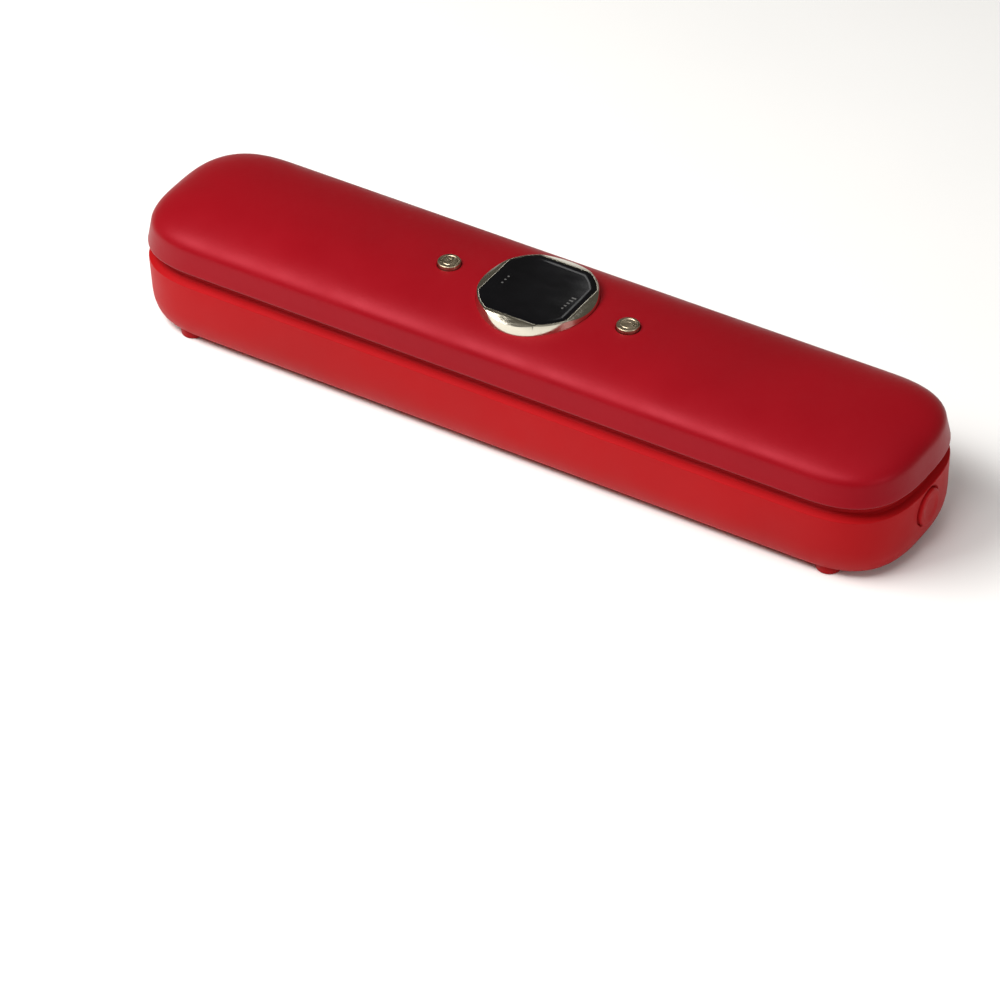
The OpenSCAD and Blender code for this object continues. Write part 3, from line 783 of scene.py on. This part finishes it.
def panel_outline(grow, steps=24):
    """A circle cut by four flats, as closed (x, y) points."""
    r, half = PANEL_CORNER + grow, PANEL_HALF + grow
    reach = math.acos(half / r)
    points = []
    for quarter in range(4):
        start = quarter * math.pi / 2 + reach
        end = (quarter + 1) * math.pi / 2 - reach
        for k in range(steps + 1):
            a = start + (end - start) * k / steps
            points.append((r * math.cos(a), r * math.sin(a)))
    return points


FACET_DROP = 1.8  # fall of the bezel's four facets, from the window's edge to the wall
FACET_RUN = FRAME_R - PANEL_HALF
GLASS_DEPTH = 2.2
GLASS_SUNK = 0.1  # the window lies this far below the bezel's top
BEZEL_BAND = 7  # width of the ring that the bezel is cut from
WALL_LEAN = 0.55  # the bezel's wall leans in by twice this, so that it catches the light


def make_frame():
    """Plated bezel: a leaning wall, and a facet along each of the window's four flats."""
    inner = FRAME_R - BEZEL_BAND
    wall = rounded(
        [
            (inner, FRAME_LOW, 0),
            (FRAME_R, FRAME_LOW, 0.3),
            (FRAME_R, FRAME_TOP - 6.4, 0),
            (FRAME_R + WALL_LEAN, FRAME_TOP - 5.9, 0.2),
            (FRAME_R - WALL_LEAN, FRAME_TOP, 0.45),
            (inner, FRAME_TOP, 0),
        ],
        4,
    )
    bezel = new_object("panel_bezel", *lathe(wall, (0, 0, 0), steps=192))
    window = [[(x, y, z) for x, y in panel_outline(0.1)] for z in (FRAME_TOP - GLASS_DEPTH, FRAME_TOP + 2)]
    tools = [
        skin(window),
        lathe([(inner, FRAME_LOW - 1), (inner, FRAME_TOP - GLASS_DEPTH + 1)], (0, 0, 0)),
    ]
    slope = FACET_DROP / FACET_RUN
    start, far, above = PANEL_HALF + 0.5, 34, 70
    for quarter in range(4):
        c, s = round(math.cos(quarter * math.pi / 2)), round(math.sin(quarter * math.pi / 2))
        corners = [(start, FRAME_TOP), (far, FRAME_TOP - slope * (far - start)), (far, above), (start, above)]
        rings = []
        for v in (-32, 32):
            rings.append([(u * c - v * s, u * s + v * c, z) for u, z in corners])
        tools.append(skin(rings))
    carve(bezel, tools, keep_normals=False)
    bpy.context.view_layer.update()
    edge = bezel.modifiers.new("edge", "BEVEL")
    edge.width = 0.16 * MM
    edge.segments = 3
    edge.limit_method = "ANGLE"
    edge.angle_limit = math.radians(14)
    apply_modifiers(bezel)
    settle(bezel, "lid", LOOKS["chrome"], ["panel_frame"], 30)


def make_glass():
    """Dark window with a softly rounded edge."""
    under, top = FRAME_TOP - GLASS_DEPTH, FRAME_TOP - GLASS_SUNK
    rows = rounded([(-3, under, 0), (0, under, 0.1), (0, top, 0.12), (-3, top, 0)], 4)
    rings = [[(x, y, z) for x, y in panel_outline(grow)] for grow, z in rows]
    points, faces = skin(rings)
    piece("panel_window", points, faces, "lid", LOOKS["panel_black"], ["panel_glass"])


def make_marks():
    """Generic indicators on the window: five short bars and three dots."""
    look = Look("mark_print")
    look.colour(look.colours(look.noise(900), (0.07, 0.07, 0.07), (0.13, 0.13, 0.125)))
    look.roughness(look.spread(look.noise(500), 0.4, 0.6))
    under = FRAME_TOP - GLASS_SUNK - 0.02
    over = FRAME_TOP - GLASS_SUNK + 0.03
    shapes = []
    for k in range(5):
        y = -6 + 2 * k
        shapes.append(block((14.6, 15.4 + 0.3 * k), (y, y + 0.8), (under, over)))
    for k in range(3):
        shapes.append(lathe([(0.45, under), (0.45, over)], (-15, -3 + 2.4 * k, 0), steps=20))
    points, faces = joined(shapes)
    piece("panel_marks", points, faces, "lid", look.material)


make_frame()
make_glass()
make_marks()

# ---------------------------------------------------------------- buttons and feet


def make_push_button(name, body, side):
    """A plated key: rounded rim, slightly domed top with a ring and a centre boss in relief."""
    base = low(name).z
    top = BUTTON_TOP
    flange = CROWN_Z - WALL - 2
    profile = rounded(
        [
            (0.01, base, 0),
            (3, base, 0.2),
            (3, flange, 0.2),
            (BUTTON_R + 1.1, flange, 0.2),
            (BUTTON_R + 1.1, flange + 1.3, 0.2),
            (BUTTON_R, flange + 1.3, 0.1),
            (BUTTON_R, top - 0.05, 0.45),
            (3.55, top, 0.1),
            (3.4, top - 0.16, 0.08),
            (2.75, top - 0.16, 0.08),
            (2.6, top - 0.02, 0.1),
            (1.35, top, 0.08),
            (1.25, top - 0.14, 0.08),
            (0.01, top - 0.14, 0),
        ],
        4,
    )
    points, faces = lathe(profile, (side * BUTTON_X, 0, 0), steps=72)
    piece(name + "_key", points, faces, body, LOOKS["button_nickel"], [name], 50)


def make_release(side, word):
    """Round thumb button, with a soft rim and a shallow dish."""
    inner, outer = side * RELEASE_IN, side * RELEASE_OUT
    profile = rounded(
        [
            (0.01, inner, 0),
            (RELEASE_R + 1, inner, 0.3),
            (RELEASE_R + 1, inner + side * 2, 0.3),
            (RELEASE_R, inner + side * 2, 0.2),
            (RELEASE_R, outer - side * 0.1, 0.9),
            (RELEASE_R - 2.2, outer, 1.2),
            (RELEASE_R - 4.2, outer - side * 0.35, 2.0),
            (0.01, outer - side * 0.45, 0),
        ],
        6,
    )
    points, faces = lathe(profile, (0, RELEASE_Y, RELEASE_Z), "X", 96)
    name = f"release_button_{word}"
    piece(name + "_cap", points, faces, f"{word}_release", LOOKS["base_plastic"], [name], 45)


def make_feet():
    """Four round pads with a rounded lower edge."""
    shapes = []
    for lows, highs in islands("feet"):
        x, y = (lows.x + highs.x) / 2, (lows.y + highs.y) / 2
        r = (highs.x - lows.x) / 2
        profile = rounded([(0.01, 0, 0), (r, 0, 0.9), (r, highs.z, 0.1), (0.01, highs.z, 0)], 6)
        shapes.append(lathe(profile, (x, y, 0), steps=56))
    points, faces = joined(shapes)
    piece("foot_pads", points, faces, "base", LOOKS["foot_plastic"], ["feet"], 45)


make_push_button("vacuum_button", "vacuum_key", -1)
make_push_button("seal_button", "seal_key", 1)
make_release(1, "right")
make_release(-1, "left")
make_feet()

# ---------------------------------------------------------------- sealing parts


def make_gasket(name, node, body, rounded_up):
    """Foam loop with a rounded face on its sealing side."""
    lows, highs = low(node), high(node)
    centre_y = (lows.y + highs.y) / 2
    thick = 3
    half = thick / 2
    length, width = highs.x - lows.x, highs.y - lows.y
    z0, z1 = (lows.z, highs.z) if rounded_up else (highs.z, lows.z)
    section = rounded([(-half, z0, 0), (-half, z1, 1.1), (half, z1, 1.1), (half, z0, 0)], 6)
    path = stadium(length - thick, width - thick, 40)
    rings = []
    for offset, z in section:
        rings.append([(x + offset * u, centre_y + y + offset * v, z) for x, y, u, v in path])
    points, faces = skin(rings, capped=False, looped=True)
    piece(name, points, faces, body, LOOKS["gasket_rubber"], [node], 60)


def make_bar(name, node, section, body, slot):
    """A straight bar along X with a (y, z) section."""
    x0, x1 = low(node).x, high(node).x
    steps = 60
    rings = []
    for k in range(steps + 1):
        x = x0 + (x1 - x0) * k / steps
        rings.append([(x, y, z) for y, z in section])
    points, faces = skin(rings)
    piece(name, points, faces, body, LOOKS[slot], [node], 40)


def make_pressure_strip():
    """Silicone strip with two grooves along its pressing face."""
    lows, highs = low("pressure_strip"), high("pressure_strip")
    corners = [(lows.y, highs.z, 0), (lows.y, lows.z, 0.8)]
    ribs = 3
    pitch = (highs.y - lows.y) / ribs
    for k in range(1, ribs):
        y = lows.y + pitch * k
        corners += [(y - 0.5, lows.z, 0.3), (y, lows.z + 0.6, 0.2), (y + 0.5, lows.z, 0.3)]
    corners += [(highs.y, lows.z, 0.8), (highs.y, highs.z, 0)]
    make_bar("pressure_pad", "pressure_strip", rounded(corners, 4), "lid", "silicone")


def make_tape():
    """Tape over the heated strip, with the strip showing as a low ridge."""
    lows, highs = low("ptfe_tape"), high("ptfe_tape")
    centre = (lows.y + highs.y) / 2
    base = lows.z + 0.005
    ridge = 1.25
    corners = [
        (lows.y, base, 0),
        (lows.y, base + 0.14, 0.05),
        (centre - ridge - 0.5, base + 0.16, 0.4),
        (centre - ridge, highs.z, 0.3),
        (centre + ridge, highs.z, 0.3),
        (centre + ridge + 0.5, base + 0.16, 0.4),
        (highs.y, base + 0.14, 0.05),
        (highs.y, base, 0),
    ]
    make_bar("release_tape", "ptfe_tape", rounded(corners, 3), "base", "ptfe_cloth")


def make_spring(word):
    """Round-wire return spring between the deck's stop and the slider."""
    lows, highs = low(f"latch_spring_{word}"), high(f"latch_spring_{word}")
    wire = 0.4
    coil = (highs.y - lows.y) / 2 - wire
    middle = (lows + highs) / 2
    turns, steps = 6, 22
    x0, x1 = lows.x + wire, highs.x - wire
    curve = bpy.data.curves.new(f"spring_{word}", "CURVE")
    curve.dimensions = "3D"
    curve.bevel_depth = wire * MM
    curve.bevel_resolution = 3
    curve.use_fill_caps = True
    line = curve.splines.new("POLY")
    line.points.add(turns * steps)
    for k in range(turns * steps + 1):
        a = 2 * math.pi * k / steps
        x = x0 + (x1 - x0) * k / (turns * steps)
        spot = (x, middle.y + coil * math.cos(a), middle.z + coil * math.sin(a))
        line.points[k].co = (*(Vector(spot) * MM), 1)
    line.use_smooth = True
    coiled = bpy.data.objects.new("coiled", curve)
    mesh = bpy.data.meshes.new_from_object(coiled)
    bpy.data.objects.remove(coiled)
    mesh.name = f"return_spring_{word}"
    mesh.materials.clear()
    spring = bpy.data.objects.new(f"return_spring_{word}", mesh)
    bpy.context.scene.collection.objects.link(spring)
    settle(spring, "base", LOOKS["steel"], [f"latch_spring_{word}"], 40)
    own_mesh(spring)


make_gasket("lower_seal", "lower_gasket", "base", rounded_up=True)
make_gasket("upper_seal", "upper_gasket", "lid", rounded_up=False)
make_pressure_strip()
make_tape()
for word in ("left", "right"):
    make_spring(word)

# ---------------------------------------------------------------- CAD nodes that stay

slots = {row["node"]: row["material_slot"] for row in frame["record"]["subparts"]}
for node, obj in frame["nodes"].items():
    if obj.hide_render:
        continue
    obj.data.materials.clear()
    obj.data.materials.append(LOOKS[slots[node]])

SOFTENED = {
    "base_deck": 0.35,
    "lid_liner": 0.3,
    "heater_bar": 0.3,
    "latch_hook_left": 0.3,
    "latch_hook_right": 0.3,
    "latch_slider_left": 0.3,
    "latch_slider_right": 0.3,
    "power_inlet": 0.3,
    "relay": 0.5,
    "transformer": 0.6,
    "pump_head": 0.5,
    "pump_cover": 0.5,
    "motor_cradle": 0.4,
    "lid_switch": 0.3,
}
for node, width in SOFTENED.items():
    soften(frame["nodes"][node], width)

# ---------------------------------------------------------------- stage, lights and camera


def make_floor():
    """A wide sheet of pale paper."""
    size, steps = 6.0, 8
    mesh = bpy.data.meshes.new("floor")
    work = bmesh.new()
    bmesh.ops.create_grid(work, x_segments=steps, y_segments=steps, size=size / 2)
    work.to_mesh(mesh)
    work.free()
    floor = bpy.data.objects.new("floor", mesh)
    bpy.context.scene.collection.objects.link(floor)
    look = Look("floor_paper")
    look.colour(look.colours(look.noise(3), (0.92, 0.917, 0.91), (0.95, 0.947, 0.94)))
    look.roughness(look.spread(look.noise(8), 0.75, 0.9))
    mesh.materials.append(look.material)


def softbox(name, place, aim, size, watts, colour=(1, 1, 1)):
    """A rectangular area light, aimed at a point."""
    light = bpy.data.lights.new(name, "AREA")
    light.shape = "RECTANGLE"
    light.size, light.size_y = size
    light.energy = watts
    light.color = colour
    obj = bpy.data.objects.new(name, light)
    obj.location = place
    obj.rotation_euler = (Vector(aim) - Vector(place)).to_track_quat("-Z", "Y").to_euler()
    bpy.context.scene.collection.objects.link(obj)


def around(azimuth, elevation, distance):
    """A point at a bearing: azimuth 0 is straight in front, and grows towards +X."""
    a, e = math.radians(azimuth), math.radians(elevation)
    return Vector((math.sin(a) * math.cos(e), -math.cos(a) * math.cos(e), math.sin(e))) * distance


def make_world():
    """Dim, slightly warm light from all round."""
    world = bpy.data.worlds.new("studio")
    world.use_nodes = True
    shader = world.node_tree.nodes["Background"]
    shader.inputs["Color"].default_value = (0.10, 0.094, 0.080, 1)
    shader.inputs["Strength"].default_value = 1.0
    bpy.context.scene.world = world


def make_camera():
    """Long lens, looking down on the right of the front, held slightly out of level."""
    azimuth, elevation, distance = 32.62, 37.29, 2.203
    aim = Vector((-0.0020, -0.0287, -0.0293))
    tilt = math.radians(-1.49)
    data = bpy.data.cameras.new("camera")
    data.lens = 194
    data.sensor_width = 36
    camera = bpy.data.objects.new("camera", data)
    camera.location = around(azimuth, elevation, distance) + Vector((0, 0, 0.001))
    level = (aim - camera.location).to_track_quat("-Z", "Y")
    camera.rotation_euler = (level @ Quaternion((0, 0, 1), tilt)).to_euler()
    bpy.context.scene.collection.objects.link(camera)
    bpy.context.scene.camera = camera


make_floor()
make_world()
softbox("key", around(-46, 54, 1.1), (-0.05, 0, 0.03), (0.8, 0.5), 13, (1, 0.985, 0.96))
softbox("fill", around(10, 61, 1.6), (0.05, 0, 0.03), (0.6, 0.4), 7)
softbox("side", around(80, 25, 1.6), (0.15, 0, 0.03), (0.7, 0.4), 5)
softbox("top", (0.35, 0.35, 1.7), (0.15, 0.1, 0), (1.4, 1.4), 4.5)
softbox("rear", around(-150, 37, 1.8), (0, 0, 0.05), (0.05, 0.3), 0.15)
make_camera()
bpy.context.scene.view_settings.view_transform = "Standard"
